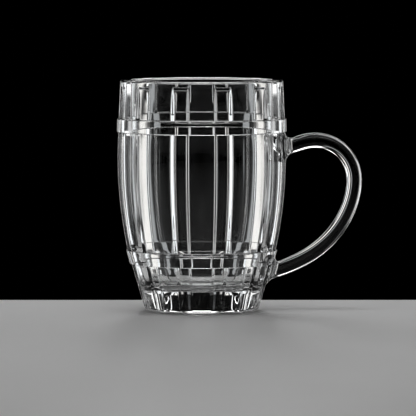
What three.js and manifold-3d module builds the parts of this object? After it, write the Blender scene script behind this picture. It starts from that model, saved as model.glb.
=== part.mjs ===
// Barrel-shaped glass mug: a pressed body with twelve staves and two hoops in relief, and a rounded rod
// handle that is stuck on hot at two feet. The two pieces of glass meet face to face at the feet.
// Millimetres, +Z up. The origin is on the mug's axis, on the face it stands on. The handle is at +X.
import * as THREE from "three";
import { mergeVertices } from "three/addons/utils/BufferGeometryUtils.js";
import Module from "manifold-3d";

const wasm = await Module();
wasm.setup();

// Heights of the body's zones, stacked from the table to the rim
const HEEL_HEIGHT = 25.3;
const LOWER_HOOP_HEIGHT = 7.6;
const BARREL_HEIGHT = 63.9;
const UPPER_HOOP_HEIGHT = 7.2;
const COLLAR_HEIGHT = 21;

// Outer radii of the staves where the zones meet
const FOOT_RADIUS = 30.8;
const HEEL_TOP_RADIUS = 38.1;
const WAIST_RADIUS = 40.2;
const BELLY_RADIUS = 45.6;
const COLLAR_RADIUS = 45;
const RIM_RADIUS = 44.1;
const BELLY_DROP = 14.3; // from the upper hoop down to the widest height of the staves

// Hoops and rounded edges
const HOOP_PROUD = 0.85;
const HOOP_EDGE = 1.1;
const FOOT_ROUND = 2.4;
const LIP_ROUND = 1.3;

// Grooves pressed into the outer skin between the staves
const STAVE_COUNT = 12;
const GROOVE_DEPTH = 1.1;
const GROOVE_FLOOR = 6.5; // width of the groove's flat floor at the belly
const GROOVE_SLOPE = 2.1; // width of each of its sloped sides
const GROOVE_TIP_DROP = 2.1; // from the rounded lip down to the tip of a groove
const GROOVE_RUNOUT = 13; // height over which a groove reaches its full depth
const GROOVE_COLLAR_DEPTH = 1.25; // the same groove above the upper hoop
const GROOVE_FOOT_DEPTH = 0.3; // what is left of a groove at the rounded foot

// Drink space, and the wall that it leaves under the staves
const BASE_THICKNESS = 12.8;
const RIM_WALL = 5.6;
const BELLY_WALL = 7.1;
const WAIST_WALL = 7.3;
const FLOOR_ROUND = 7;

// Handle
const ROD_DIAMETER = 8.3;
const ROD_SQUARENESS = 4; // exponent of the rod's section, which is 2 for a circle
const FOOT_FILLET = 4; // flare of the glass where the rod is stuck on
const UPPER_ROOT_DROP = 8.2; // from the upper hoop down to the rod's centre on the skin
const UPPER_ROOT_RISE = 11; // degrees above level, as the rod leaves the body
const LOWER_ROOT_DROP = 4.4; // from the lower hoop down to the rod's centre on the skin
const LOWER_ROOT_RISE = 15; // degrees above level, as the rod leaves the body
const CREST_REACH = 16.2; // from the belly out to the highest point of the rod's centre line
const CREST_RISE = 3.5; // from the upper root up to that point
const KNEE_REACH = 37; // from the belly out to the widest point of the rod's centre line
const KNEE_DROP = 21.3; // from the crest down to that point
const WELD_GAP = 0.3;

// Shares of the handle curve's spans that its tangents reach over
const QUARTER_ROUND = 0.5523;
const KNEE_PULL = 0.27;
const SWEEP_PULL = 0.84;
const ROOT_PULL = 0.4;

// Facets
const BARREL_ROWS = 8;
const COLLAR_ROWS = 7;
const HEEL_ROWS = 2;
const MOUTH_ROWS = 4;
const BORE_ROWS = 8;
const FLOOR_ROWS = 6;
const CORNER_ROWS = 3;
const ROD_SIDES = 16;
const ROD_STEPS = 44;
const FLARE_SIDES = 28;
const FLARE_ROWS = 5;

const LOWER_HOOP_TOP = HEEL_HEIGHT + LOWER_HOOP_HEIGHT;
const UPPER_HOOP_BOTTOM = LOWER_HOOP_TOP + BARREL_HEIGHT;
const UPPER_HOOP_TOP = UPPER_HOOP_BOTTOM + UPPER_HOOP_HEIGHT;
const MUG_HEIGHT = UPPER_HOOP_TOP + COLLAR_HEIGHT;
const BELLY_HEIGHT = UPPER_HOOP_BOTTOM - BELLY_DROP;
const LIP_EDGE = Math.min(LIP_ROUND, RIM_WALL / 2);
const LIP_BOTTOM = MUG_HEIGHT - LIP_EDGE;
const GROOVE_TIP = LIP_BOTTOM - GROOVE_TIP_DROP;
const HEEL_FLARE = (HEEL_TOP_RADIUS - FOOT_RADIUS) / HEEL_HEIGHT;

const { lerp, degToRad } = THREE.MathUtils;

// Outer radius of the staves at a height: a straight heel, a bulging barrel and a straight collar
function staveRadius(height) {
  if (height <= HEEL_HEIGHT) {
    return lerp(FOOT_RADIUS, HEEL_TOP_RADIUS, height / HEEL_HEIGHT);
  }
  if (height >= UPPER_HOOP_TOP) {
    return lerp(COLLAR_RADIUS, RIM_RADIUS, (height - UPPER_HOOP_TOP) / COLLAR_HEIGHT);
  }
  const offset = (height - BELLY_HEIGHT) / (BELLY_HEIGHT - LOWER_HOOP_TOP);
  return BELLY_RADIUS - (BELLY_RADIUS - WAIST_RADIUS) * offset * offset;
}

// Depth of the grooves at a height: fading in below the lip and fading out towards the foot
function grooveDepth(height) {
  if (height >= UPPER_HOOP_TOP) {
    const opened = Math.min((GROOVE_TIP - height) / GROOVE_RUNOUT, 1);
    return GROOVE_COLLAR_DEPTH * Math.sin((opened * Math.PI) / 2);
  }
  return lerp(GROOVE_FOOT_DEPTH, GROOVE_DEPTH, Math.min(height / HEEL_HEIGHT, 1));
}

function smoothRow(radius, height) {
  return { radius, height, press: 0 };
}

function staveRow(height, grow) {
  return { radius: staveRadius(height) + grow, height, press: grooveDepth(height) };
}

function staveRows(bottom, top, count, grow) {
  return Array.from({ length: count + 1 }, (_, i) => staveRow(lerp(bottom, top, i / count), grow));
}

// A rounded corner, as rows from one tangent point to the other
function cornerRows(from, tip, to, count) {
  const curve = new THREE.QuadraticBezierCurve(
    new THREE.Vector2(...from),
    new THREE.Vector2(...tip),
    new THREE.Vector2(...to),
  );
  return curve.getPoints(count).map((point) => smoothRow(point.x, point.y));
}

// A smooth hoop that stands proud of the staves and follows their taper. The rows of the staves above
// and below it close its two corners.
function hoopRows(bottom, top, grow) {
  const lowSkin = staveRadius(bottom) + grow;
  const highSkin = staveRadius(top) + grow;
  const low = bottom - grow;
  const high = top + grow;
  const edge = HOOP_EDGE / (top - bottom);
  const lowCorner = cornerRows(
    [lowSkin, low],
    [lowSkin + HOOP_PROUD, low],
    [lerp(lowSkin, highSkin, edge) + HOOP_PROUD, low + HOOP_EDGE],
    CORNER_ROWS,
  );
  const highCorner = cornerRows(
    [lerp(highSkin, lowSkin, edge) + HOOP_PROUD, high - HOOP_EDGE],
    [highSkin + HOOP_PROUD, high],
    [highSkin, high],
    CORNER_ROWS,
  );
  return [...lowCorner.slice(1), ...highCorner.slice(0, -1)];
}

// The outer skin from the middle of the foot to the top of the lip, grown outwards by a clearance
function outerRows(grow) {
  const foot = cornerRows(
    [FOOT_RADIUS - FOOT_ROUND + grow, 0],
    [FOOT_RADIUS + grow, 0],
    [staveRadius(FOOT_ROUND) + grow, FOOT_ROUND],
    CORNER_ROWS,
  );
  const lip = cornerRows(
    [staveRadius(LIP_BOTTOM) + grow, LIP_BOTTOM],
    [RIM_RADIUS + grow, MUG_HEIGHT],
    [RIM_RADIUS - LIP_EDGE + grow, MUG_HEIGHT],
    CORNER_ROWS,
  );
  return [
    smoothRow(0, 0),
    ...foot.slice(0, -1),
    ...staveRows(FOOT_ROUND, HEEL_HEIGHT - grow, HEEL_ROWS, grow),
    ...hoopRows(HEEL_HEIGHT, LOWER_HOOP_TOP, grow),
    ...staveRows(LOWER_HOOP_TOP + grow, UPPER_HOOP_BOTTOM - grow, BARREL_ROWS, grow),
    ...hoopRows(UPPER_HOOP_BOTTOM, UPPER_HOOP_TOP, grow),
    ...staveRows(UPPER_HOOP_TOP + grow, GROOVE_TIP, COLLAR_ROWS, grow),
    ...lip,
  ];
}

// A smooth stretch of the drink space's wall, between two points that know how fast the wall flares
function wallRows(top, bottom, count) {
  const third = (top.height - bottom.height) / 3;
  const curve = new THREE.CubicBezierCurve(
    new THREE.Vector2(top.radius, top.height),
    new THREE.Vector2(top.radius - top.flare * third, top.height - third),
    new THREE.Vector2(bottom.radius + bottom.flare * third, bottom.height + third),
    new THREE.Vector2(bottom.radius, bottom.height),
  );
  return curve.getPoints(count).map((point) => smoothRow(point.x, point.y));
}

// The smooth drink space from the top of the lip down to the middle of its floor
function boreRows() {
  const rimBore = RIM_RADIUS - RIM_WALL;
  const lip = cornerRows(
    [rimBore + LIP_EDGE, MUG_HEIGHT],
    [rimBore, MUG_HEIGHT],
    [rimBore, LIP_BOTTOM],
    CORNER_ROWS,
  );
  const mouth = { radius: rimBore, height: LIP_BOTTOM, flare: 0 };
  const belly = { radius: BELLY_RADIUS - BELLY_WALL, height: BELLY_HEIGHT, flare: 0 };
  const waist = { radius: WAIST_RADIUS - WAIST_WALL, height: LOWER_HOOP_TOP, flare: HEEL_FLARE };
  const wallFoot = BASE_THICKNESS + FLOOR_ROUND;
  const wallFootRadius = waist.radius - HEEL_FLARE * (waist.height - wallFoot);
  const floor = cornerRows(
    [wallFootRadius, wallFoot],
    [wallFootRadius - HEEL_FLARE * FLOOR_ROUND, BASE_THICKNESS],
    [wallFootRadius - FLOOR_ROUND, BASE_THICKNESS],
    FLOOR_ROWS,
  );
  return [
    ...lip.slice(0, -1),
    ...wallRows(mouth, belly, MOUTH_ROWS),
    ...wallRows(belly, waist, BORE_ROWS).slice(1),
    ...floor,
    smoothRow(0, BASE_THICKNESS),
  ];
}

// Angles of the skin's columns, from the front round to +X: three on each stave and two on each groove
function skinColumns() {
  const pitch = (2 * Math.PI) / STAVE_COUNT;
  const floorHalf = GROOVE_FLOOR / BELLY_RADIUS / 2;
  const staveHalf = pitch / 2 - floorHalf - GROOVE_SLOPE / BELLY_RADIUS;
  const offsets = [
    { turn: -staveHalf, pressed: false },
    { turn: 0, pressed: false },
    { turn: staveHalf, pressed: false },
    { turn: pitch / 2 - floorHalf, pressed: true },
    { turn: pitch / 2 + floorHalf, pressed: true },
  ];
  const staves = Array.from({ length: STAVE_COUNT }, (_, i) => i * pitch);
  return staves.flatMap((start) =>
    offsets.map(({ turn, pressed }) => ({ angle: start + turn, pressed })),
  );
}

// Turns rows about the mug's axis and presses the grooves into them
function turnedSkin(rows) {
  const columns = skinColumns();
  const points = rows.map((row) => new THREE.Vector2(row.radius, row.height));
  const geometry = new THREE.LatheGeometry(points, columns.length);
  const position = geometry.getAttribute("position");
  for (let i = 0; i < position.count; i += 1) {
    const row = rows[i % rows.length];
    const column = columns[Math.floor(i / rows.length) % columns.length];
    const radius = row.radius - (column.pressed ? row.press : 0);
    position.setXYZ(i, radius * Math.sin(column.angle), -radius * Math.cos(column.angle), row.height);
  }
  return geometry;
}

// A closed mesh as a solid that can be joined and cut
function solidOf(geometry) {
  const bare = geometry.clone();
  bare.deleteAttribute("normal");
  bare.deleteAttribute("uv");
  const merged = mergeVertices(bare, 1e-4);
  return new wasm.Manifold(
    new wasm.Mesh({
      numProp: 3,
      vertProperties: new Float32Array(merged.getAttribute("position").array),
      triVerts: new Uint32Array(merged.getIndex().array),
    }),
  );
}

function geometryOf(solid) {
  const { vertProperties, triVerts } = solid.getMesh();
  const geometry = new THREE.BufferGeometry();
  geometry.setAttribute("position", new THREE.BufferAttribute(vertProperties, 3));
  geometry.setIndex(new THREE.BufferAttribute(triVerts, 1));
  geometry.computeVertexNormals();
  return geometry;
}

// Where the rod meets the skin: the point, the way out of the skin and the way along the rod
function rootAt(height, rise) {
  const step = 0.5;
  const slope = (staveRadius(height + step) - staveRadius(height - step)) / (2 * step);
  return {
    point: new THREE.Vector3(staveRadius(height), 0, height),
    outward: new THREE.Vector3(1, 0, -slope).normalize(),
    along: new THREE.Vector3(Math.cos(degToRad(rise)), 0, Math.sin(degToRad(rise))),
  };
}

// Centre line of the rod: out of the upper root, over the crest, round the knee and back to the heel
function rodPath(upper, lower) {
  const crest = new THREE.Vector3(BELLY_RADIUS + CREST_REACH, 0, upper.point.z + CREST_RISE);
  const knee = new THREE.Vector3(BELLY_RADIUS + KNEE_REACH, 0, crest.z - KNEE_DROP);
  const upperEnd = upper.point.clone().addScaledVector(upper.along, -ROD_DIAMETER);
  const lowerEnd = lower.point.clone().addScaledVector(lower.along, -ROD_DIAMETER);
  const rootSpan = crest.x - upperEnd.x;
  const roundSpan = new THREE.Vector2(knee.x - crest.x, KNEE_DROP).multiplyScalar(QUARTER_ROUND);
  const sweepDrop = (knee.z - lower.point.z) * KNEE_PULL;
  const sweepRun = (knee.x - lower.point.x) * SWEEP_PULL;
  const path = new THREE.CurvePath();
  path.add(
    new THREE.CubicBezierCurve3(
      upperEnd,
      upperEnd.clone().addScaledVector(upper.along, rootSpan * ROOT_PULL),
      new THREE.Vector3(crest.x - rootSpan * ROOT_PULL, 0, crest.z),
      crest,
    ),
  );
  path.add(
    new THREE.CubicBezierCurve3(
      crest,
      new THREE.Vector3(crest.x + roundSpan.x, 0, crest.z),
      new THREE.Vector3(knee.x, 0, knee.z + roundSpan.y),
      knee,
    ),
  );
  path.add(
    new THREE.CubicBezierCurve3(
      knee,
      new THREE.Vector3(knee.x, 0, knee.z - sweepDrop),
      lower.point.clone().addScaledVector(lower.along, sweepRun),
      lowerEnd,
    ),
  );
  return path;
}

// One point of the rod's section, which lies between a circle and a square
function sectionPoint(turn) {
  const across = Math.cos(turn);
  const up = Math.sin(turn);
  const power = Math.abs(across) ** ROD_SQUARENESS + Math.abs(up) ** ROD_SQUARENESS;
  return new THREE.Vector2(across, up).multiplyScalar(ROD_DIAMETER / 2 / power ** (1 / ROD_SQUARENESS));
}

function rodSolid(path) {
  const turns = Array.from({ length: ROD_SIDES }, (_, i) => (2 * Math.PI * i) / ROD_SIDES);
  const section = new THREE.Shape(turns.map(sectionPoint));
  return solidOf(
    new THREE.ExtrudeGeometry(section, { steps: ROD_STEPS, bevelEnabled: false, extrudePath: path }),
  );
}

// The flare of one foot: a trumpet on the skin that leans with the rod
function flareSolid(root) {
  const rodRadius = ROD_DIAMETER / 2;
  const spread = rodRadius + FOOT_FILLET;
  const flare = new THREE.QuadraticBezierCurve(
    new THREE.Vector2(spread, 0),
    new THREE.Vector2(rodRadius, 0),
    new THREE.Vector2(rodRadius, FOOT_FILLET),
  );
  const points = [
    new THREE.Vector2(0, -ROD_DIAMETER),
    new THREE.Vector2(spread, -ROD_DIAMETER),
    ...flare.getPoints(FLARE_ROWS),
    new THREE.Vector2(0, FOOT_FILLET),
  ];
  const level = new THREE.Vector3(0, 1, 0);
  const down = new THREE.Vector3().crossVectors(level, root.outward);
  const lean = root.along.dot(down) / root.along.dot(root.outward);
  const place = new THREE.Matrix4().makeBasis(down, level, root.outward).setPosition(root.point);
  const geometry = new THREE.LatheGeometry(points, FLARE_SIDES);
  geometry.rotateX(Math.PI / 2);
  geometry.applyMatrix4(new THREE.Matrix4().makeShear(0, 0, 0, 0, lean, 0));
  geometry.applyMatrix4(place);
  return solidOf(geometry);
}

// The rod and its two flares in one piece of glass, with the body's skin cut clear of its feet
function handleGeometry() {
  const upper = rootAt(UPPER_HOOP_BOTTOM - UPPER_ROOT_DROP, UPPER_ROOT_RISE);
  const lower = rootAt(HEEL_HEIGHT - LOWER_ROOT_DROP, LOWER_ROOT_RISE);
  const skin = solidOf(turnedSkin([...outerRows(WELD_GAP), smoothRow(0, MUG_HEIGHT)]));
  const rod = rodSolid(rodPath(upper, lower));
  return geometryOf(rod.add(flareSolid(upper)).add(flareSolid(lower)).subtract(skin));
}

function glass(colour) {
  return new THREE.MeshStandardMaterial({ color: colour, roughness: 0.05, metalness: 0 });
}

const body = new THREE.Mesh(turnedSkin([...outerRows(0), ...boreRows()]), glass(0xe6ecec));
body.name = "mug_body";

const handle = new THREE.Mesh(handleGeometry(), glass(0xdfe7e8));
handle.name = "handle";

const mug = new THREE.Group();
mug.name = "glass_mug";
mug.add(body, handle);

export default mug;
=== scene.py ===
"""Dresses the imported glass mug: a pressed barrel body, a stuck-on rod handle and a small studio."""
import logging
import math
from dataclasses import dataclass
from enum import Enum
from typing import ClassVar

import bmesh
import bpy
from bmesh.types import BMEdge, BMesh, BMVert
from bpy.types import Light, Material, NodeTree, Object
from mathutils import Matrix, Vector


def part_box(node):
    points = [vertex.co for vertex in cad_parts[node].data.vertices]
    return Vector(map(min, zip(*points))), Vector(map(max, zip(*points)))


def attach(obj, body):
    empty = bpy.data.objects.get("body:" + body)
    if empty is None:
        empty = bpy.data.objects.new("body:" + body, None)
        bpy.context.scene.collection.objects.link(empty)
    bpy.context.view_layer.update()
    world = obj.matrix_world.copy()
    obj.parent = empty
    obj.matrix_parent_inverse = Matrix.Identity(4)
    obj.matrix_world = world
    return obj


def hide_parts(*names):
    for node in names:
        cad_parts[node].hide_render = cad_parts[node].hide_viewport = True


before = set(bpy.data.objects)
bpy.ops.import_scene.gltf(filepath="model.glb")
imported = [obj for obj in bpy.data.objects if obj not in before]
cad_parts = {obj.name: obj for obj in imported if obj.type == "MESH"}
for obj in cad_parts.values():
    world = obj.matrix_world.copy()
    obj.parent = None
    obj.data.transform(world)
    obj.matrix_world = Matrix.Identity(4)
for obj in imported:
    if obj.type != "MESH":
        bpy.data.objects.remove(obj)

MM = 0.001
WELD = 0.001 * MM
ORIGIN = (0.0, 0.0, 0.0)
UP = (0.0, 0.0, 1.0)
LOG = logging.getLogger("glass_mug")


class Glass(Enum):
    """The two pieces of glass, by the name of the node that each one replaces."""

    BODY = "mug_body"
    HANDLE = "handle"


class Foot(Enum):
    """The handle's two feet, by which way the top of the rod's section points there: up or down."""

    UPPER = 1.0
    LOWER = -1.0


class Side(Enum):
    """The two sides of the studio, by the sign of their places across it."""

    RIGHT = 1.0
    LEFT = -1.0


class Softbox(Enum):
    """The soft lamps of the studio."""

    EDGE = "edge_strip"
    KEY = "key_panel"
    FILL = "fill_panel"
    BASE = "base_panel"
    SIDE = "side_panel"
    WING = "wing_panel"
    BROW = "brow_panel"
    CROWN = "crown_panel"
    RIM = "rim_panel"
    HOOP = "hoop_strip"
    OVERHEAD = "overhead"


@dataclass(frozen=True)
class Knot:
    """A known point of a smooth curve."""

    place: float
    value: float
    slope: float


@dataclass(frozen=True)
class Corner:
    """A corner of the body's section, which is rounded where it has segments."""

    radius: float
    height: float
    rounding: float = 0.0
    segments: int = 0


def smooth_step(value: float, low: float, high: float) -> float:
    """Rises smoothly from 0 at low to 1 at high.

    Args:
        value: Where to read the step.
        low: Where it leaves 0.
        high: Where it reaches 1.

    Returns:
        A number from 0 to 1.
    """
    share = min(max((value - low) / (high - low), 0.0), 1.0)
    return share * share * (3.0 - 2.0 * share)


def blend(start: float, end: float, share: float) -> float:
    """Returns the number that lies share of the way from start to end."""
    return start + (end - start) * share


def hermite(place: float, low: Knot, high: Knot) -> float:
    """Reads a smooth curve between two points with known slopes.

    Args:
        place: Where to read the curve.
        low: The curve's first point.
        high: The curve's last point.

    Returns:
        The value of the curve.
    """
    span = high.place - low.place
    share = (place - low.place) / span
    rest = 1.0 - share
    start = rest**2 * ((1.0 + 2.0 * share) * low.value + share * span * low.slope)
    end = share**2 * ((3.0 - 2.0 * share) * high.value - rest * span * high.slope)
    return start + end


def bezier(points: tuple[Vector, Vector, Vector, Vector], share: float) -> Vector:
    """Reads a point of a cubic curve.

    Args:
        points: The curve's end, its two handles and its other end.
        share: How far along the curve to read, from 0 to 1.

    Returns:
        The point.
    """
    rest = 1.0 - share
    return (
        points[0] * rest**3
        + points[1] * (3.0 * rest * rest * share)
        + points[2] * (3.0 * rest * share * share)
        + points[3] * share**3
    )


def even_points(points: list[Vector], steps: int) -> list[Vector]:
    """Walks along a finely divided line in even steps.

    Args:
        points: The points of the line.
        steps: How many steps to take from its start to its end.

    Returns:
        The start, and the point that each step reaches.
    """
    lengths = [0.0]
    for start, end in zip(points, points[1:]):
        lengths.append(lengths[-1] + (end - start).length)
    line = []
    index = 0
    for step in range(steps + 1):
        wanted = lengths[-1] * step / steps
        while index < len(points) - 2 and lengths[index + 1] < wanted:
            index += 1
        share = (wanted - lengths[index]) / (lengths[index + 1] - lengths[index])
        line.append(points[index].lerp(points[index + 1], share))
    return line


def finished_object(name: str, bm: BMesh, material: Material) -> Object:
    """Turns a finished bmesh into a smooth-shaded object at the origin.

    Args:
        name: The object's name.
        bm: The mesh, which is freed.
        material: What the object is made of.

    Returns:
        The new object.
    """
    mesh = bpy.data.meshes.new(name)
    bm.to_mesh(mesh)
    bm.free()
    mesh.shade_smooth()
    mesh.materials.append(material)
    piece = bpy.data.objects.new(name, mesh)
    bpy.context.scene.collection.objects.link(piece)
    LOG.info("%s: %d faces", name, len(mesh.polygons))
    return piece


@dataclass(frozen=True)
class FirePolish:
    """The soft skin that a flame leaves on glass: slow waves, drawn out upwards, and cloudy patches."""

    wave_stretch: tuple[float, float, float] = (1.0, 1.0, 0.1)
    wave_detail: float = 1.5
    patch_detail: float = 4.0

    def group(self) -> NodeTree:
        """Builds the node group that both kinds of glass share.

        Returns:
            A group that puts out the height of the waves and a roughness that varies with the patches.
        """
        tree = bpy.data.node_groups.new("fire_polish", "ShaderNodeTree")
        for name in ("Wave Scale", "Patch Scale", "Roughness Low", "Roughness High"):
            tree.interface.new_socket(name, in_out="INPUT", socket_type="NodeSocketFloat")
        for name in ("Height", "Roughness"):
            tree.interface.new_socket(name, in_out="OUTPUT", socket_type="NodeSocketFloat")
        inside = tree.nodes.new("NodeGroupInput")
        outside = tree.nodes.new("NodeGroupOutput")
        place = tree.nodes.new("ShaderNodeTexCoord")
        stretch = tree.nodes.new("ShaderNodeMapping")
        stretch.inputs["Scale"].default_value = self.wave_stretch
        waves = tree.nodes.new("ShaderNodeTexNoise")
        waves.inputs["Detail"].default_value = self.wave_detail
        patches = tree.nodes.new("ShaderNodeTexNoise")
        patches.inputs["Detail"].default_value = self.patch_detail
        level = tree.nodes.new("ShaderNodeMapRange")
        link = tree.links.new
        link(place.outputs["Object"], stretch.inputs["Vector"])
        link(stretch.outputs["Vector"], waves.inputs["Vector"])
        link(inside.outputs["Wave Scale"], waves.inputs["Scale"])
        link(place.outputs["Object"], patches.inputs["Vector"])
        link(inside.outputs["Patch Scale"], patches.inputs["Scale"])
        link(patches.outputs["Fac"], level.inputs["Value"])
        link(inside.outputs["Roughness Low"], level.inputs["To Min"])
        link(inside.outputs["Roughness High"], level.inputs["To Max"])
        link(waves.outputs["Fac"], outside.inputs["Height"])
        link(level.outputs["Result"], outside.inputs["Roughness"])
        return tree


@dataclass(frozen=True)
class GlassFinish:
    """Clear soda-lime glass with a fire-polished skin."""

    name: str
    tint: tuple[float, float, float, float]
    refraction: float
    wave_scale: float
    wave_height: float
    wave_strength: float
    patch_scale: float
    roughness_low: float
    roughness_high: float

    def material(self, polish: NodeTree) -> Material:
        """Builds the material.

        Args:
            polish: The fire_polish node group.

        Returns:
            The glass, ready to be put on a piece.
        """
        material = bpy.data.materials.new(self.name)
        material.use_nodes = True
        tree = material.node_tree
        shader = tree.nodes["Principled BSDF"]
        shader.inputs["Base Color"].default_value = self.tint
        shader.inputs["Metallic"].default_value = 0.0
        shader.inputs["IOR"].default_value = self.refraction
        shader.inputs["Transmission Weight"].default_value = 1.0
        skin = tree.nodes.new("ShaderNodeGroup")
        skin.node_tree = polish
        skin.inputs["Wave Scale"].default_value = self.wave_scale
        skin.inputs["Patch Scale"].default_value = self.patch_scale
        skin.inputs["Roughness Low"].default_value = self.roughness_low
        skin.inputs["Roughness High"].default_value = self.roughness_high
        waves = tree.nodes.new("ShaderNodeBump")
        waves.inputs["Strength"].default_value = self.wave_strength
        waves.inputs["Distance"].default_value = self.wave_height
        tree.links.new(skin.outputs["Roughness"], shader.inputs["Roughness"])
        tree.links.new(skin.outputs["Height"], waves.inputs["Height"])
        tree.links.new(waves.outputs["Normal"], shader.inputs["Normal"])
        return material


@dataclass(frozen=True)
class TableFinish:
    """A plain finish with a faint cloudy variation of its grey."""

    name: str
    roughness: float
    cloud_scale: float
    darkest: float
    lightest: float

    def material(self) -> Material:
        """Builds the material.

        Returns:
            The finish, ready to be put on the table top.
        """
        material = bpy.data.materials.new(self.name)
        material.use_nodes = True
        tree = material.node_tree
        shader = tree.nodes["Principled BSDF"]
        shader.inputs["Roughness"].default_value = self.roughness
        place = tree.nodes.new("ShaderNodeTexCoord")
        clouds = tree.nodes.new("ShaderNodeTexNoise")
        clouds.inputs["Scale"].default_value = self.cloud_scale
        shades = tree.nodes.new("ShaderNodeMapRange")
        shades.inputs["To Min"].default_value = self.darkest
        shades.inputs["To Max"].default_value = self.lightest
        tree.links.new(place.outputs["Object"], clouds.inputs["Vector"])
        tree.links.new(clouds.outputs["Fac"], shades.inputs["Value"])
        tree.links.new(shades.outputs["Result"], shader.inputs["Base Color"])
        return material


BODY_GLASS = GlassFinish(
    name="pressed_glass",
    tint=(0.985, 0.99, 0.99, 1.0),
    refraction=1.51,
    wave_scale=140.0,
    wave_height=0.05 * MM,
    wave_strength=0.3,
    patch_scale=220.0,
    roughness_low=0.0,
    roughness_high=0.02,
)
HANDLE_GLASS = GlassFinish(
    name="drawn_glass",
    tint=(0.985, 0.99, 0.99, 1.0),
    refraction=1.51,
    wave_scale=40.0,
    wave_height=0.03 * MM,
    wave_strength=0.3,
    patch_scale=160.0,
    roughness_low=0.0,
    roughness_high=0.015,
)
PALE_TABLE = TableFinish(name="pale_table", roughness=0.45, cloud_scale=6.0, darkest=0.72, lightest=0.78)


@dataclass
class StaveRelief:
    """The grooves that are pressed between the staves of the barrel."""

    count: int = 12
    depth: float = 1.1 * MM
    collar_depth: float = 1.25 * MM
    foot_depth: float = 0.3 * MM
    floor_radius: float = 27.0 * MM
    floor_width: float = 6.0 * MM
    slope_width: float = 2.6 * MM
    runout: float = 13.0 * MM
    columns_on_half_stave: int = 4
    columns_on_slope: int = 12
    columns_on_half_floor: int = 4

    @property
    def pitch(self) -> float:
        """The angle from one stave to the next."""
        return 2.0 * math.pi / self.count

    @property
    def columns(self) -> int:
        """How many columns of faces cover one stave and half a groove on each side of it."""
        return 2 * (self.columns_on_half_stave + self.columns_on_slope + self.columns_on_half_floor)

    def crowded_turn(self, turn: float, radius: float) -> float:
        """Moves an evenly spaced angle so that most columns lie on the sides of the grooves.

        Args:
            turn: An angle from the middle of a stave, in radians.
            radius: The radius at which the groove has its widths.

        Returns:
            The crowded angle.
        """
        half = self.pitch / 2.0
        floor_edge = half - self.floor_width / 2.0 / radius
        stave_edge = floor_edge - self.slope_width / radius
        step = self.pitch / self.columns
        knots = (
            (0.0, 0.0),
            (self.columns_on_half_stave * step, stave_edge),
            ((self.columns_on_half_stave + self.columns_on_slope) * step, floor_edge),
            (half, half),
        )
        place = min(abs(turn), half)
        (low, low_turn), (high, high_turn) = next(
            span for span in zip(knots, knots[1:]) if place <= span[1][0]
        )
        moved = blend(low_turn, high_turn, (place - low) / (high - low))
        return math.copysign(moved, turn)

    def floor_rise(self, across: float, radius: float) -> float:
        """Works out how far the tighter round of a groove's floor stands off the round of the barrel.

        Args:
            across: How far the point lies from the middle of the groove.
            radius: The radius of the barrel.

        Returns:
            The rise, in metres, which is 0 past the edge of the floor.
        """
        half = self.floor_width / 2.0
        place = min(across, half)
        return (half * half - place * place) / 2.0 * (1.0 / self.floor_radius - 1.0 / radius)

    def depth_at(self, turn: float, radius: float, below_tip: float, floor_depth: float) -> float:
        """Works out how deep the skin is pressed in at a point.

        Args:
            turn: The point's angle, from the middle of a stave, in radians.
            radius: The radius at which the groove has its widths.
            below_tip: How far the point lies below the tips of the grooves.
            floor_depth: The depth of the groove at the edges of its floor, away from its tip.

        Returns:
            The depth, in metres.
        """
        if below_tip <= 0.0:
            return 0.0
        across = abs(turn / self.pitch % 1.0 - 0.5) * self.pitch * radius
        run = min(below_tip / self.runout, 1.0)
        arch = math.sqrt(1.0 - (1.0 - run) ** 2)
        middle = (self.floor_width + self.slope_width) / 2.0
        reach = self.slope_width * arch / 2.0
        side = smooth_step(across, middle - reach, middle + reach)
        return floor_depth * arch * (1.0 - side) - self.floor_rise(across, radius) * run


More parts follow.
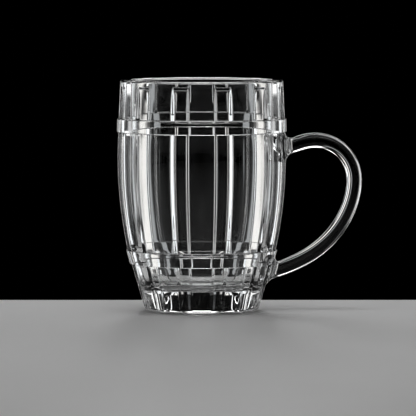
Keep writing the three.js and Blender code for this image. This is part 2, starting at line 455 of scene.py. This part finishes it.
@dataclass
class MugBody:
    """The pressed vessel: heel, lower hoop, barrel, upper hoop, collar, lip and drink space."""

    height: float
    relief: StaveRelief
    heel_height: float = 25.3 * MM
    lower_hoop_height: float = 7.6 * MM
    barrel_height: float = 63.9 * MM
    upper_hoop_height: float = 7.2 * MM
    foot_radius: float = 30.8 * MM
    heel_top_radius: float = 38.1 * MM
    waist_radius: float = 40.2 * MM
    belly_radius: float = 45.6 * MM
    belly_drop: float = 14.3 * MM
    collar_radius: float = 45.0 * MM
    rim_radius: float = 44.1 * MM
    hoop_proud: float = 0.85 * MM
    hoop_edge: float = 0.8 * MM
    hoop_root: float = 0.4 * MM
    foot_round: float = 2.4 * MM
    lip_round: float = 1.3 * MM
    groove_tip_drop: float = 2.1 * MM
    base_thickness: float = 12.8 * MM
    rim_wall: float = 5.6 * MM
    belly_wall: float = 7.1 * MM
    waist_wall: float = 7.3 * MM
    floor_round: float = 7.0 * MM
    # The grooves fade out between these two shares of a hoop's rise.
    groove_fade: tuple[float, float] = (0.1, 0.9)
    # A rounded corner takes up no more than this share of the shorter edge beside it.
    corner_share: float = 0.48
    edge_segments: int = 5
    root_segments: int = 3
    foot_segments: int = 6
    lip_segments: int = 8
    floor_segments: int = 12
    # The distances between the rows of faces.
    disc_rows: float = 5.0 * MM
    bore_rows: float = 2.8 * MM
    collar_rows: float = 0.8 * MM
    barrel_rows: float = 2.2 * MM
    heel_rows: float = 1.3 * MM

    @property
    def lower_hoop_top(self) -> float:
        """Height of the top of the lower hoop."""
        return self.heel_height + self.lower_hoop_height

    @property
    def upper_hoop_bottom(self) -> float:
        """Height of the bottom of the upper hoop."""
        return self.lower_hoop_top + self.barrel_height

    @property
    def upper_hoop_top(self) -> float:
        """Height of the top of the upper hoop."""
        return self.upper_hoop_bottom + self.upper_hoop_height

    @property
    def belly_height(self) -> float:
        """Height of the widest part of the barrel."""
        return self.upper_hoop_bottom - self.belly_drop

    @property
    def groove_tip(self) -> float:
        """Height of the tips of the grooves."""
        return self.height - self.lip_round - self.groove_tip_drop

    @property
    def heel_slope(self) -> float:
        """How far the heel widens for each metre of height."""
        return (self.heel_top_radius - self.foot_radius) / self.heel_height

    @property
    def barrel_top_radius(self) -> float:
        """Radius of the barrel where it meets the upper hoop."""
        return self.barrel_curve(self.upper_hoop_bottom)

    @property
    def rim_bore(self) -> float:
        """Radius of the drink space at the rim."""
        return self.rim_radius - self.rim_wall

    @property
    def waist_bore(self) -> float:
        """Radius of the drink space at the waist."""
        return self.waist_radius - self.waist_wall

    @property
    def floor_bore(self) -> float:
        """Radius of the drink space at its floor, before the floor is rounded."""
        return self.waist_bore - (self.lower_hoop_top - self.base_thickness) * self.heel_slope

    def stave_radius(self, height: float) -> float:
        """Gives the outer radius of the staves.

        Args:
            height: How high above the table to read it.

        Returns:
            The radius, in metres.
        """
        if height <= self.heel_height:
            return blend(self.foot_radius, self.heel_top_radius, height / self.heel_height)
        if height <= self.lower_hoop_top:
            share = (height - self.heel_height) / self.lower_hoop_height
            return blend(self.heel_top_radius, self.waist_radius, share)
        if height < self.upper_hoop_bottom:
            return self.barrel_curve(height)
        if height < self.upper_hoop_top:
            share = (height - self.upper_hoop_bottom) / self.upper_hoop_height
            return blend(self.barrel_top_radius, self.collar_radius, share)
        share = (height - self.upper_hoop_top) / (self.height - self.upper_hoop_top)
        return blend(self.collar_radius, self.rim_radius, share)

    def barrel_curve(self, height: float) -> float:
        """Gives the radius of the barrel's bulge.

        Args:
            height: How high above the table to read it.

        Returns:
            The radius, in metres.
        """
        offset = (height - self.belly_height) / (self.belly_height - self.lower_hoop_top)
        return self.belly_radius - (self.belly_radius - self.waist_radius) * offset * offset

    def skin_radius(self, height: float) -> float:
        """Gives the outer radius with the hoops, without the grooves.

        Args:
            height: How high above the table to read it.

        Returns:
            The radius, in metres.
        """
        proud = 0.0
        for low, high in (
            (self.heel_height, self.lower_hoop_top),
            (self.upper_hoop_bottom, self.upper_hoop_top),
        ):
            rise = smooth_step(height, low - self.hoop_root, low + self.hoop_edge)
            fall = 1.0 - smooth_step(height, high - self.hoop_edge, high + self.hoop_root)
            proud += self.hoop_proud * rise * fall
        return self.stave_radius(height) + proud

    def pressed_radius(self, skin: float, height: float, turn: float) -> float:
        """Presses the grooves into the outer skin, clear of the hoops and the edge of the foot.

        Args:
            skin: The radius of the skin with its hoops and without the grooves.
            height: How high above the table to read it.
            turn: The angle from the middle of a stave, in radians.

        Returns:
            The radius, in metres.
        """
        proud = (skin - self.stave_radius(height)) / self.hoop_proud
        share = (1.0 - smooth_step(proud, *self.groove_fade)) * smooth_step(height, 0.0, self.foot_round)
        floor_depth = self.relief.collar_depth
        if height < self.upper_hoop_bottom:
            above_foot = min(height / self.heel_height, 1.0)
            floor_depth = blend(self.relief.foot_depth, self.relief.depth, above_foot)
        below_tip = self.groove_tip - height
        return skin - share * self.relief.depth_at(turn, self.belly_radius, below_tip, floor_depth)

    def bore_radius(self, height: float) -> float:
        """Gives the radius of the drink space above its waist.

        Args:
            height: How high above the table to read it.

        Returns:
            The radius, in metres.
        """
        waist = Knot(self.lower_hoop_top, self.waist_bore, self.heel_slope)
        belly = Knot(self.belly_height, self.belly_radius - self.belly_wall, 0.0)
        rim = Knot(self.height, self.rim_bore, 0.0)
        if height < self.belly_height:
            return hermite(height, waist, belly)
        return hermite(height, belly, rim)

    def well_inside(self, radius: float, height: float) -> bool:
        """Tells whether a point lies deep under the skin, as in the drink space or the foot's middle."""
        return radius < self.stave_radius(height) - self.rim_wall / 2.0

    def corners(self) -> tuple[Corner, ...]:
        """Lists the corners of half a section, with straight lines for the barrel and the drink space.

        Returns:
            The corners, from the middle of the foot up the outside and down to the middle of the floor.
        """
        proud = self.hoop_proud
        root = (self.hoop_root, self.root_segments)
        edge = (self.hoop_edge, self.edge_segments)
        lip = (self.lip_round, self.lip_segments)
        return (
            Corner(0.0, 0.0),
            Corner(self.foot_radius, 0.0, self.foot_round, self.foot_segments),
            Corner(self.heel_top_radius, self.heel_height, *root),
            Corner(self.heel_top_radius + proud, self.heel_height, *edge),
            Corner(self.waist_radius + proud, self.lower_hoop_top, *edge),
            Corner(self.waist_radius, self.lower_hoop_top, *root),
            Corner(self.barrel_top_radius, self.upper_hoop_bottom, *root),
            Corner(self.barrel_top_radius + proud, self.upper_hoop_bottom, *edge),
            Corner(self.collar_radius + proud, self.upper_hoop_top, *edge),
            Corner(self.collar_radius, self.upper_hoop_top, *root),
            Corner(self.rim_radius, self.height, *lip),
            Corner(self.rim_bore, self.height, *lip),
            Corner(self.waist_bore, self.lower_hoop_top),
            Corner(self.floor_bore, self.base_thickness, self.floor_round, self.floor_segments),
            Corner(0.0, self.base_thickness),
        )

    def outline(self, bm: BMesh) -> list[BMEdge]:
        """Draws half a section of the body, from the middle of its foot to the middle of its floor.

        Args:
            bm: The mesh to draw in.

        Returns:
            The edges of the outline, in the XZ plane.
        """
        corners = self.corners()
        points = [bm.verts.new((corner.radius, 0.0, corner.height)) for corner in corners]
        bm.faces.new(points)
        axis_edge = bm.edges.get((points[-1], points[0]))
        for point, corner in zip(points, corners):
            if corner.segments:
                self.round_off(bm, point, corner)
        bmesh.ops.delete(bm, geom=bm.faces[:], context="FACES_ONLY")
        bmesh.ops.delete(bm, geom=[axis_edge], context="EDGES_FACES")
        self.divide(bm)
        self.bulge(bm)
        return bm.edges[:]

    def round_off(self, bm: BMesh, point: BMVert, corner: Corner) -> None:
        """Rounds one corner of the section.

        Args:
            bm: The mesh that holds the section.
            point: The corner's point.
            corner: How far to round it and in how many segments.
        """
        room = self.corner_share * min(edge.calc_length() for edge in point.link_edges)
        bmesh.ops.bevel(
            bm,
            geom=[point],
            offset=min(corner.rounding, room),
            offset_type="OFFSET",
            segments=corner.segments,
            profile=0.5,
            affect="VERTICES",
            material=-1,
        )

    def divide(self, bm: BMesh) -> None:
        """Cuts the long edges of the outline into rows.

        Args:
            bm: The mesh that holds the outline.
        """
        for edge in bm.edges[:]:
            middle = (edge.verts[0].co + edge.verts[1].co) / 2.0
            cuts = round(edge.calc_length() / self.row_height(middle)) - 1
            if cuts > 0:
                bmesh.ops.subdivide_edges(bm, edges=[edge], cuts=cuts)

    def row_height(self, place: Vector) -> float:
        """Chooses how far apart the rows are at a point of the outline.

        Args:
            place: The point, in the XZ plane.

        Returns:
            The distance between rows, in metres.
        """
        if place.x < self.foot_radius / 2.0:
            return self.disc_rows
        if self.well_inside(place.x, place.z):
            return self.bore_rows
        if place.z > self.upper_hoop_top:
            return self.collar_rows
        if self.lower_hoop_top < place.z < self.upper_hoop_bottom:
            return self.barrel_rows
        return self.heel_rows

    def bulge(self, bm: BMesh) -> None:
        """Bends the straight barrel and drink space of the outline to their curves.

        Args:
            bm: The mesh that holds the outline.
        """
        bore_height = self.height - self.lower_hoop_top
        for point in bm.verts:
            height = point.co.z
            above_waist = height - self.lower_hoop_top
            if above_waist <= 0.0:
                continue
            if self.well_inside(point.co.x, height):
                straight = blend(self.waist_bore, self.rim_bore, above_waist / bore_height)
                point.co.x += self.bore_radius(height) - straight
            elif height < self.upper_hoop_bottom:
                share = above_waist / self.barrel_height
                straight = blend(self.waist_radius, self.barrel_top_radius, share)
                point.co.x += self.barrel_curve(height) - straight

    def press(self, bm: BMesh) -> None:
        """Presses the grooves into one turned stave and leaves the hoops, the lip and the bore smooth.

        Args:
            bm: The mesh of the stave, with half a groove on each side of it.
        """
        for point in bm.verts:
            radius = math.hypot(point.co.x, point.co.y)
            if radius < WELD:
                continue
            height = point.co.z
            turn = self.relief.crowded_turn(math.atan2(point.co.y, point.co.x), self.belly_radius)
            if not self.well_inside(radius, height):
                radius = self.pressed_radius(radius, height, turn)
            point.co.x = radius * math.cos(turn)
            point.co.y = radius * math.sin(turn)

    def build(self, material: Material) -> Object:
        """Makes the body: one stave is turned and pressed, and its copies close the ring.

        Args:
            material: The glass.

        Returns:
            The finished piece.
        """
        bm = bmesh.new()
        edges = self.outline(bm)
        pitch = self.relief.pitch
        to_groove = Matrix.Rotation(-pitch / 2.0, 3, "Z")
        bmesh.ops.rotate(bm, cent=ORIGIN, matrix=to_groove, verts=bm.verts[:])
        bmesh.ops.spin(
            bm,
            geom=edges + bm.verts[:],
            cent=ORIGIN,
            axis=UP,
            angle=pitch,
            steps=self.relief.columns,
            use_merge=False,
        )
        self.press(bm)
        bmesh.ops.spin(
            bm,
            geom=bm.verts[:] + bm.edges[:] + bm.faces[:],
            cent=ORIGIN,
            axis=UP,
            angle=2.0 * math.pi - pitch,
            steps=self.relief.count - 1,
            use_merge=False,
            use_duplicate=True,
        )
        bmesh.ops.remove_doubles(bm, verts=bm.verts[:], dist=WELD)
        bmesh.ops.recalc_face_normals(bm, faces=bm.faces[:])
        return finished_object("pressed_body", bm, material)


@dataclass
class RodHandle:
    """The glass rod, with the two flared feet that stick it to the body."""

    body: MugBody
    rod_radius: float = 4.15 * MM
    foot_fillet: float = 4.0 * MM
    sink: float = 0.4 * MM
    upper_root_drop: float = 8.2 * MM
    upper_root_rise: float = math.radians(11.0)
    lower_root_drop: float = 4.4 * MM
    lower_root_rise: float = math.radians(15.0)
    crest_reach: float = 16.2 * MM
    crest_rise: float = 3.5 * MM
    knee_reach: float = 37.0 * MM
    knee_drop: float = 21.3 * MM
    # This pull makes a cubic curve a quarter of a circle or an ellipse.
    quarter_round: float = 0.5523
    knee_pull: float = 0.27
    sweep_pull: float = 0.84
    root_pull: float = 0.4
    # The section is a circle at 2 and gets squarer as this grows.
    squareness: float = 4.0
    sides: int = 64
    steps: int = 120
    samples: int = 200
    flare_rings: int = 14
    cap_rings: int = 4
    slope_step: float = 0.5 * MM

    def root(self, foot: Foot) -> tuple[Vector, Vector]:
        """Finds where the rod's centre line meets the skin.

        Args:
            foot: The foot that grows there.

        Returns:
            The point, and the way out along the rod.
        """
        height = self.body.upper_hoop_bottom - self.upper_root_drop
        rise = self.upper_root_rise
        if foot is Foot.LOWER:
            height = self.body.heel_height - self.lower_root_drop
            rise = self.lower_root_rise
        point = Vector((self.body.stave_radius(height), 0.0, height))
        return point, Vector((math.cos(rise), 0.0, math.sin(rise)))

    def centre_line(self) -> list[Vector]:
        """Draws the rod's centre line from the upper root to the lower root.

        Returns:
            Points at even distances along it.
        """
        upper, upper_way = self.root(Foot.UPPER)
        lower, lower_way = self.root(Foot.LOWER)
        crest = Vector((self.body.belly_radius + self.crest_reach, 0.0, upper.z + self.crest_rise))
        knee = Vector((self.body.belly_radius + self.knee_reach, 0.0, crest.z - self.knee_drop))
        root_span = crest.x - upper.x
        spans = (
            (
                upper,
                upper + upper_way * root_span * self.root_pull,
                crest - Vector((root_span * self.root_pull, 0.0, 0.0)),
                crest,
            ),
            (
                crest,
                crest + Vector(((knee.x - crest.x) * self.quarter_round, 0.0, 0.0)),
                knee + Vector((0.0, 0.0, self.knee_drop * self.quarter_round)),
                knee,
            ),
            (
                knee,
                knee - Vector((0.0, 0.0, (knee.z - lower.z) * self.knee_pull)),
                lower + lower_way * (knee.x - lower.x) * self.sweep_pull,
                lower,
            ),
        )
        fine = [bezier(span, sample / self.samples) for span in spans for sample in range(self.samples)]
        return even_points(fine + [lower], self.steps)

    def section(self, side: int) -> tuple[float, float]:
        """Reads the rod's section, which is between a circle and a square with soft corners.

        Args:
            side: Which point of the section to read.

        Returns:
            How far the point lies across and up, in rod radii.
        """
        turn = 2.0 * math.pi * side / self.sides
        across, up = math.cos(turn), math.sin(turn)
        size = (abs(across) ** self.squareness + abs(up) ** self.squareness) ** (1.0 / self.squareness)
        return across / size, up / size

    def free_ring(self, centre: Vector, way: Vector) -> list[Vector]:
        """Places one ring of the rod between its feet.

        Args:
            centre: The ring's centre.
            way: The rod's direction there.

        Returns:
            The ring's points.
        """
        upward = Vector((-way.z, 0.0, way.x))
        level = Vector((0.0, 1.0, 0.0))
        return [
            centre + (level * across + upward * up) * self.rod_radius
            for across, up in (self.section(side) for side in range(self.sides))
        ]

    def foot_ring(self, foot: Foot, lift: float, flare: float, share: float = 1.0) -> list[Vector]:
        """Places one ring of a foot, which follows the skin of the body more closely the nearer it is.

        Args:
            foot: The foot that the ring belongs to.
            lift: How far the ring stands off the skin.
            flare: How far the foot has spread past the rod there.
            share: The ring's size, less than 1 for the rings that close the foot's end.

        Returns:
            The ring's points.
        """
        root, way = self.root(foot)
        above = self.body.stave_radius(root.z + self.slope_step)
        below = self.body.stave_radius(root.z - self.slope_step)
        slope = (above - below) / (2.0 * self.slope_step)
        outward = Vector((1.0, 0.0, -slope)).normalized()
        along = Vector((slope, 0.0, 1.0)).normalized()
        lean = way.dot(along) / way.dot(outward)
        long_radius = self.rod_radius / way.dot(outward)
        hug = 1.0 - smooth_step(lift, 0.0, self.foot_fillet)
        ring = []
        for side in range(self.sides):
            level, upright = self.section(side)
            across = (self.rod_radius + flare) * level * share
            up = lean * lift + (long_radius + flare) * upright * foot.value * share
            straight = root + Vector((0.0, across, 0.0)) + along * up + outward * lift
            height = root.z + up * along.z
            bend = across / root.x
            skin = self.body.skin_radius(height)
            radius = self.body.pressed_radius(skin, height, bend) + lift * outward.x
            wrapped = Vector((radius * math.cos(bend), radius * math.sin(bend), height + lift * outward.z))
            ring.append(straight.lerp(wrapped, hug))
        return ring

    def foot_rings(self, foot: Foot) -> list[list[Vector]]:
        """Places the rings of one foot, from the rod to the middle of the end that is stuck on.

        Args:
            foot: The foot to place.

        Returns:
            The rings, in order.
        """
        rings = []
        for step in range(self.flare_rings + 1):
            sweep = math.pi / 2.0 * step / self.flare_rings
            lift = self.foot_fillet * (1.0 - math.sin(sweep))
            rings.append(self.foot_ring(foot, lift, self.foot_fillet * (1.0 - math.cos(sweep))))
        for step in range(self.cap_rings):
            share = 1.0 - step / self.cap_rings
            rings.append(self.foot_ring(foot, -self.sink, self.foot_fillet, share))
        return rings

    def rings(self) -> list[list[Vector]]:
        """Places all the rings of the handle, from the end of the upper foot to that of the lower one.

        Returns:
            The rings, in order.
        """
        line = self.centre_line()
        clear = self.foot_fillet + self.rod_radius
        middle = []
        for before, centre, after in zip(line, line[1:], line[2:]):
            from_skin = min((centre - line[0]).length, (centre - line[-1]).length)
            if from_skin > clear:
                middle.append(self.free_ring(centre, (after - before).normalized()))
        return self.foot_rings(Foot.UPPER)[::-1] + middle + self.foot_rings(Foot.LOWER)

    def build(self, material: Material) -> Object:
        """Makes the handle: a circle is drawn out from ring to ring, and both its ends are closed.

        Args:
            material: The glass.

        Returns:
            The finished piece.
        """
        bm = bmesh.new()
        side = bm.verts.layers.int.new("side")
        rings = self.rings()
        first = bmesh.ops.create_circle(bm, segments=self.sides, radius=self.rod_radius)["verts"]
        for number, point in enumerate(first):
            point[side] = number
            point.co = rings[0][number]
        last = first
        edges = bm.edges[:]
        for ring in rings[1:]:
            made = bmesh.ops.extrude_edge_only(bm, edges=edges)["geom"]
            last = [part for part in made if isinstance(part, BMVert)]
            for point in last:
                point.co = ring[point[side]]
            fresh = set(last)
            edges = [part for part in made if isinstance(part, BMEdge) and fresh.issuperset(part.verts)]
        for end in (first, last):
            middle = sum((point.co for point in end), Vector()) / len(end)
            bmesh.ops.pointmerge(bm, verts=end, merge_co=middle)
        bmesh.ops.recalc_face_normals(bm, faces=bm.faces[:])
        return finished_object("rod_handle", bm, material)


@dataclass(frozen=True, kw_only=True)
class Lamp:
    """A soft lamp that faces the mug, with a mirror image where it hangs off to one side.

    Its bearing from straight behind the mug, its rise above the level and the spread of its beam are in
    degrees, its places and sizes in metres, and its fade in shares of its width and height.
    """

    NO_GRID: ClassVar[float] = 180.0

    box: Softbox
    bearing: float = 0.0
    distance: float
    height: float
    rise: float = 0.0
    ahead: float = 0.0
    size: tuple[float, float]
    glow: float
    fade: tuple[float, float] = (0.1, 0.1)
    spread: float = NO_GRID
    tint: tuple[float, float, float] = (1.0, 1.0, 1.0)

    @property
    def gathered(self) -> float:
        """Works out how much a grid that narrows the beam brightens the lamp from straight ahead.

        Returns:
            The gain, which is 1 without a grid.
        """
        if self.spread >= self.NO_GRID:
            return 1.0
        half = math.radians(self.spread) / 2.0
        return math.tan(half) / (math.tan(half) - half)

    @property
    def power(self) -> float:
        """The power, in watts, that gives the lamp its glow."""
        width, height = self.size
        return math.pi * width * height * self.glow / self.gathered

    def soften(self, light: Light) -> None:
        """Lets the lamp fade towards its edges, as the cloth of a softbox does.

        Args:
            light: The lamp's light.
        """
        light.use_nodes = True
        tree = light.node_tree
        place = tree.nodes.new("ShaderNodeNewGeometry")
        split = tree.nodes.new("ShaderNodeSeparateXYZ")
        tree.links.new(place.outputs["Parametric"], split.inputs["Vector"])
        edges = []
        for axis, fade in zip(("X", "Y"), self.fade):
            for outer, inner in ((0.0, fade), (1.0, 1.0 - fade)):
                edge = tree.nodes.new("ShaderNodeMapRange")
                edge.interpolation_type = "SMOOTHSTEP"
                edge.inputs["From Min"].default_value = outer
                edge.inputs["From Max"].default_value = inner
                tree.links.new(split.outputs[axis], edge.inputs["Value"])
                edges.append(edge.outputs["Result"])
        strength = edges[0]
        for edge in edges[1:]:
            product = tree.nodes.new("ShaderNodeMath")
            product.operation = "MULTIPLY"
            tree.links.new(strength, product.inputs[0])
            tree.links.new(edge, product.inputs[1])
            strength = product.outputs["Value"]
        tree.links.new(strength, tree.nodes["Emission"].inputs["Strength"])


WARM = (1.0, 0.98, 0.955)
COOL = (0.955, 0.98, 1.0)
LAMPS = (
    # Upright panels in pairs, from nearly behind the mug round to its sides, shine through the staves.
    Lamp(
        box=Softbox.EDGE,
        bearing=7.5,
        distance=1.3,
        height=-0.1,
        size=(0.05, 0.8),
        glow=0.35,
        fade=(0.25, 0.1),
        tint=COOL,
    ),
    Lamp(
        box=Softbox.KEY,
        bearing=15.0,
        distance=1.3,
        height=-0.15,
        size=(0.2, 0.8),
        glow=0.85,
        fade=(0.3, 0.1),
        tint=WARM,
    ),
    Lamp(
        box=Softbox.FILL,
        bearing=27.5,
        distance=1.3,
        height=-0.05,
        size=(0.37, 0.6),
        glow=1.15,
        fade=(0.45, 0.1),
        tint=COOL,
    ),
    Lamp(
        box=Softbox.BASE,
        bearing=41.0,
        distance=1.3,
        height=0.3125,
        size=(0.5, 0.565),
        glow=1.2,
        fade=(0.4, 0.15),
    ),
    Lamp(
        box=Softbox.SIDE,
        bearing=54.0,
        distance=1.1,
        height=0.23,
        size=(0.39, 0.82),
        glow=0.55,
        fade=(0.3, 0.1),
    ),
    Lamp(
        box=Softbox.WING,
        bearing=88.0,
        distance=0.9,
        height=0.38,
        size=(0.84, 0.8),
        glow=0.35,
    ),
    # Raised panels show in the handle's outer edge and in the floor of the drink space.
    Lamp(
        box=Softbox.BROW,
        bearing=30.0,
        distance=1.3,
        height=0.1,
        rise=32.0,
        size=(0.6, 0.5),
        glow=2.2,
        fade=(0.3, 0.3),
    ),
    Lamp(
        box=Softbox.CROWN,
        distance=1.3,
        height=0.1,
        rise=25.5,
        size=(0.6, 0.62),
        glow=1.9,
        fade=(0.3, 0.12),
    ),
    # Small lamps with grids, behind the table's back edge, shine up at the upper hoop and the rim.
    Lamp(
        box=Softbox.HOOP,
        distance=0.364,
        height=0.154,
        rise=-16.0,
        size=(0.3, 0.019),
        glow=3.5,
        fade=(0.2, 0.2),
        spread=19.0,
    ),
    Lamp(
        box=Softbox.RIM,
        distance=0.202,
        height=0.155,
        rise=-40.0,
        size=(0.16, 0.09),
        glow=1.3,
        fade=(0.3, 0.2),
        spread=60.0,
    ),
    # The ceiling lamp makes the table evenly pale.
    Lamp(
        box=Softbox.OVERHEAD,
        distance=2.2,
        height=0.0,
        rise=90.0,
        ahead=0.3,
        size=(1.6, 1.2),
        glow=5.2,
        fade=(0.3, 0.3),
        spread=80.0,
    ),
)


@dataclass
class Studio:
    """A pale table top, soft lamps round the mug and the camera."""

    table_width: float = 2.4
    table_front: float = -1.6
    table_back: float = 0.07
    table_thickness: float = 0.03
    table_edge: float = 4.0 * MM
    table_edge_segments: int = 4
    table_gap: float = 0.05 * MM
    camera_distance: float = 2.4
    camera_height: float = 0.2
    lens: float = 383.6
    tilt_down: float = math.radians(3.45)
    pan_right: float = math.radians(0.0815)
    room: tuple[float, float, float] = (0.0, 0.0, 0.0)
    exposure: float = 0.35
    gamma: float = 0.8

    def camera(self) -> None:
        """Sets up the camera at the photograph's viewing angle."""
        data = bpy.data.cameras.new("camera")
        data.lens = self.lens
        camera = bpy.data.objects.new("camera", data)
        camera.location = (0.0, -self.camera_distance, self.camera_height)
        camera.rotation_euler = (math.pi / 2.0 - self.tilt_down, 0.0, -self.pan_right)
        bpy.context.scene.collection.objects.link(camera)
        bpy.context.scene.camera = camera

    def darkness(self) -> None:
        """Keeps the room round the table dark and the picture's tones plain."""
        scene = bpy.context.scene
        scene.world = bpy.data.worlds.new("dark_room")
        scene.world.color = self.room
        scene.view_settings.view_transform = "Standard"
        scene.view_settings.exposure = self.exposure
        scene.view_settings.gamma = self.gamma

    def table(self) -> None:
        """Makes the table top that the mug stands on."""
        bm = bmesh.new()
        bmesh.ops.create_cube(bm, size=1.0)
        depth = self.table_back - self.table_front
        bmesh.ops.scale(bm, vec=(self.table_width, depth, self.table_thickness), verts=bm.verts[:])
        middle = (self.table_back + self.table_front) / 2.0
        drop = -self.table_thickness / 2.0 - self.table_gap
        bmesh.ops.translate(bm, vec=(0.0, middle, drop), verts=bm.verts[:])
        bmesh.ops.bevel(
            bm,
            geom=bm.edges[:],
            offset=self.table_edge,
            offset_type="OFFSET",
            segments=self.table_edge_segments,
            profile=0.5,
            affect="EDGES",
            material=-1,
        )
        table = finished_object("table_top", bm, PALE_TABLE.material())

    def hang(self, lamp: Lamp, side: Side) -> None:
        """Hangs one lamp so that it faces the mug.

        Args:
            lamp: The lamp.
            side: Right for the lamp itself and left for its mirror image.
        """
        name = f"{lamp.box.value}_{side.name.lower()}"
        light = bpy.data.lights.new(name, "AREA")
        light.shape = "RECTANGLE"
        light.size, light.size_y = lamp.size
        light.spread = math.radians(lamp.spread)
        light.color = lamp.tint
        light.energy = lamp.power
        lamp.soften(light)
        hung = bpy.data.objects.new(name, light)
        bearing = side.value * math.radians(lamp.bearing)
        rise = math.radians(lamp.rise)
        reach = lamp.distance * math.cos(rise)
        hung.location = (
            reach * math.sin(bearing),
            reach * math.cos(bearing) - lamp.ahead,
            lamp.height + lamp.distance * math.sin(rise),
        )
        hung.rotation_euler = (math.pi / 2.0 - rise, 0.0, math.pi - bearing)
        hung.visible_camera = False
        bpy.context.scene.collection.objects.link(hung)
        LOG.info("lamp %s", name)

    def light(self) -> None:
        """Hangs all the lamps, those off to one side in pairs."""
        for lamp in LAMPS:
            for side in tuple(Side) if lamp.bearing else (Side.RIGHT,):
                self.hang(lamp, side)


def adopt(piece: Object, node: Glass) -> None:
    """Lets a piece stand for its CAD node.

    Args:
        piece: The finished piece.
        node: The node that it replaces.
    """
    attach(piece, "root")
    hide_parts(node.value)
    LOG.info("%s replaces %s", piece.name, node.value)


def main() -> None:
    """Builds the mug and its studio."""
    logging.basicConfig(level=logging.INFO, format="%(name)s: %(message)s")
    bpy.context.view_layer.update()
    studio = Studio()
    studio.camera()
    studio.darkness()
    studio.table()
    studio.light()
    polish = FirePolish().group()
    body = MugBody(height=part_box(Glass.BODY.value)[1][2], relief=StaveRelief())
    adopt(body.build(BODY_GLASS.material(polish)), Glass.BODY)
    handle = RodHandle(body=body)
    adopt(handle.build(HANDLE_GLASS.material(polish)), Glass.HANDLE)


if __name__ == "__main__":
    main()
